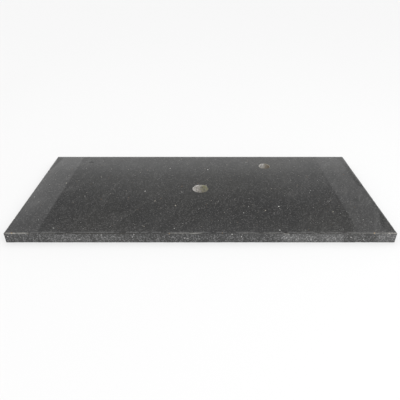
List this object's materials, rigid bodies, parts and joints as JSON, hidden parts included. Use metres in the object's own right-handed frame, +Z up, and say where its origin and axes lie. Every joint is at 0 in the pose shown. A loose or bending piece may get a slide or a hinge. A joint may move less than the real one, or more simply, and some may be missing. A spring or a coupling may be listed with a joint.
{
  "type": "stone washstand top",
  "caption": "Flat polished dark stone slab with eased edges, drilled through for a basin waste at its centre and for a tap behind it.",
  "frame": {"origin": "on the underside, at the middle of the slab's length and depth", "axes": "+X along the length, with the tap hole at +X; +Y from the user's edge to the wall edge; +Z up, out of the polished face"},
  "size_m": [1, 0.45, 0.03],
  "materials": {
    "polished_stone": "polished upper face with pale fossil flecks, honed and paler edges, sawn underside",
    "dark_mastic": "dark stone mastic, rubbed flush and slightly satin"
  },
  "bodies": {
    "root": {"stone_slab": "polished_stone", "mastic_fill_right_end": "dark_mastic", "mastic_fill_right_front": "dark_mastic", "mastic_fill_left_rear": "dark_mastic"}
  },
  "joints": []
}
